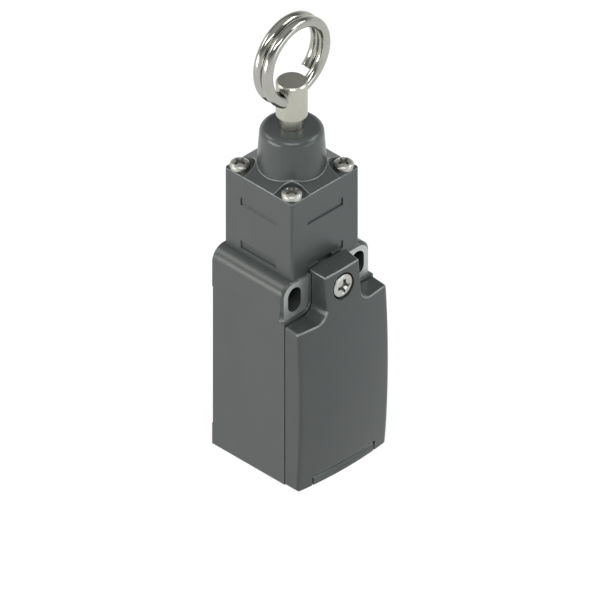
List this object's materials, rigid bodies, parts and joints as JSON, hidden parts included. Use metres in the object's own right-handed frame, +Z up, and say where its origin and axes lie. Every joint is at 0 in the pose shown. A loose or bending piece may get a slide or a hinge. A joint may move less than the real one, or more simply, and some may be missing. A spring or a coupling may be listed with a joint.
{
  "type": "rope pull switch",
  "caption": "Safety rope pull switch: die-cast housing with hinged cover, square head and a spring-loaded pull rod with a wire ring that changes the contacts over.",
  "frame": {"origin": "centre of the conduit entry on the bottom face", "axes": "+X to the right seen from the front, +Y towards the machine, +Z up along the pull rod"},
  "size_m": [0.031, 0.032, 0.1269],
  "materials": {
    "paint": "matt powder coat over a zinc die casting",
    "cover_paint": "matt powder coat over a zinc die casting",
    "bright_steel": "polished steel wire",
    "steel": "turned steel, passivated",
    "zinc_screw": "zinc plated",
    "spring_steel": "drawn spring wire",
    "bronze": "sintered bronze",
    "copper_alloy": "stamped strip with silver tips",
    "brass_clamp": "stamped brass",
    "rubber": "moulded nitrile rubber",
    "moulding": "thermoset moulding",
    "moulding_dark": "moulded thermoplastic",
    "carrier": "moulded thermoplastic",
    "nylon": "moulded nylon"
  },
  "bodies": {
    "switch_body": {"housing": "paint", "hinge_pin": "steel", "head": "paint", "head_gasket": "rubber", "head_screws": "zinc_screw", "base_plate": "steel", "guide_bush": "bronze", "rod_seal": "rubber", "return_spring": "spring_steel", "contact_block": "moulding", "block_cover": "moulding_dark", "block_screws": "zinc_screw", "plunger_spring": "spring_steel", "upper_contacts": "copper_alloy", "lower_contacts": "copper_alloy", "terminal_screws": "zinc_screw", "terminal_clamps": "brass_clamp", "earth_screw": "zinc_screw", "earth_clamp": "brass_clamp"},
    "cover_assembly": {"cover": "cover_paint", "cover_gasket": "rubber", "cover_screw": "zinc_screw", "screw_retainer": "nylon"},
    "pull_assembly": {"pull_rod": "steel", "spring_seat": "steel", "retaining_clip": "spring_steel"},
    "rope_ring": {"split_ring": "bright_steel"},
    "contact_carrier": {"contact_plunger": "carrier", "contact_bridge": "copper_alloy", "bridge_spring": "spring_steel"}
  },
  "joints": [
    {"name": "rod_pull", "type": "slide", "parent": "switch_body", "child": "pull_assembly", "axis": [0, 0, 1], "range_m": [0, 0.006], "stiffness_N_per_m": 2500, "springref_m": -0.006, "deforming": ["return_spring"]},
    {"name": "carrier_lift", "type": "slide", "parent": "switch_body", "child": "contact_carrier", "axis": [0, 0, 1], "range_m": [0, 0.006], "deforming": ["plunger_spring"]},
    {"name": "ring_swing", "type": "hinge", "parent": "pull_assembly", "child": "rope_ring", "pos_m": [0, 0, 0.1043], "axis": [1, 0, 0], "range_deg": [-135, 135]},
    {"name": "cover_open", "type": "hinge", "parent": "switch_body", "child": "cover_assembly", "pos_m": [0, -0.0166, 0.0009], "axis": [1, 0, 0], "range_deg": [0, 90]}
  ],
  "couplings": [
    {"joint": "carrier_lift", "follows": "rod_pull", "ratio": 1}
  ]
}
